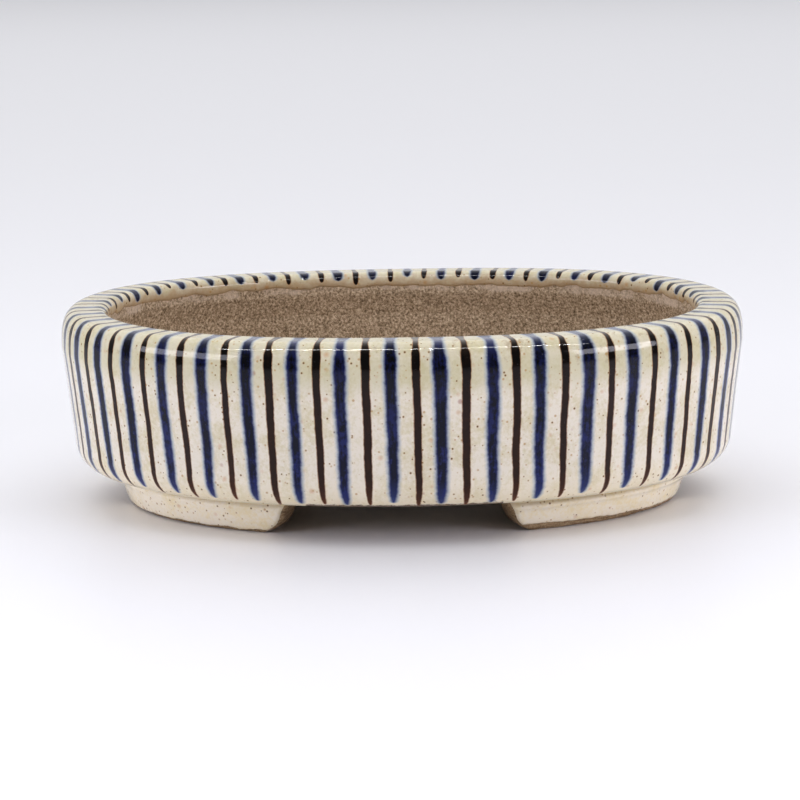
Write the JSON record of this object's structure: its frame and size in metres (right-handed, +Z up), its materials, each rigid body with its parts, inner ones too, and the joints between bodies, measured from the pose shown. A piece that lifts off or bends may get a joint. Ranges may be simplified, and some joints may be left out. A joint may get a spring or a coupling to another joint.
{
  "type": "bonsai pot",
  "caption": "Shallow oval stoneware bonsai pot with an inturned rounded lip, cream glaze brushed with blue and brown stripes, bare clay inside and low cut feet.",
  "frame": {"origin": "centre of the plan oval, on the surface that the feet stand on", "axes": "+X along the long axis of the oval, +Y along the short axis towards the back, +Z up"},
  "size_m": [0.2, 0.156, 0.057],
  "materials": {
    "bare_clay": "sandy unglazed stoneware, dry and matt",
    "foot_clay": "rough unglazed stoneware, dry and matt",
    "striped_glaze": "glossy cream glaze over brushed blue and iron brown stripes",
    "foot_glaze": "glossy cream glaze, plain"
  },
  "bodies": {
    "root": {"wall": "bare_clay", "floor_slab": "bare_clay", "wall_glaze": "striped_glaze", "foot_front_left": "foot_clay", "foot_front_right": "foot_clay", "foot_back_left": "foot_clay", "foot_back_right": "foot_clay", "foot_glaze_front_left": "foot_glaze", "foot_glaze_front_right": "foot_glaze", "foot_glaze_back_left": "foot_glaze", "foot_glaze_back_right": "foot_glaze"}
  },
  "joints": []
}
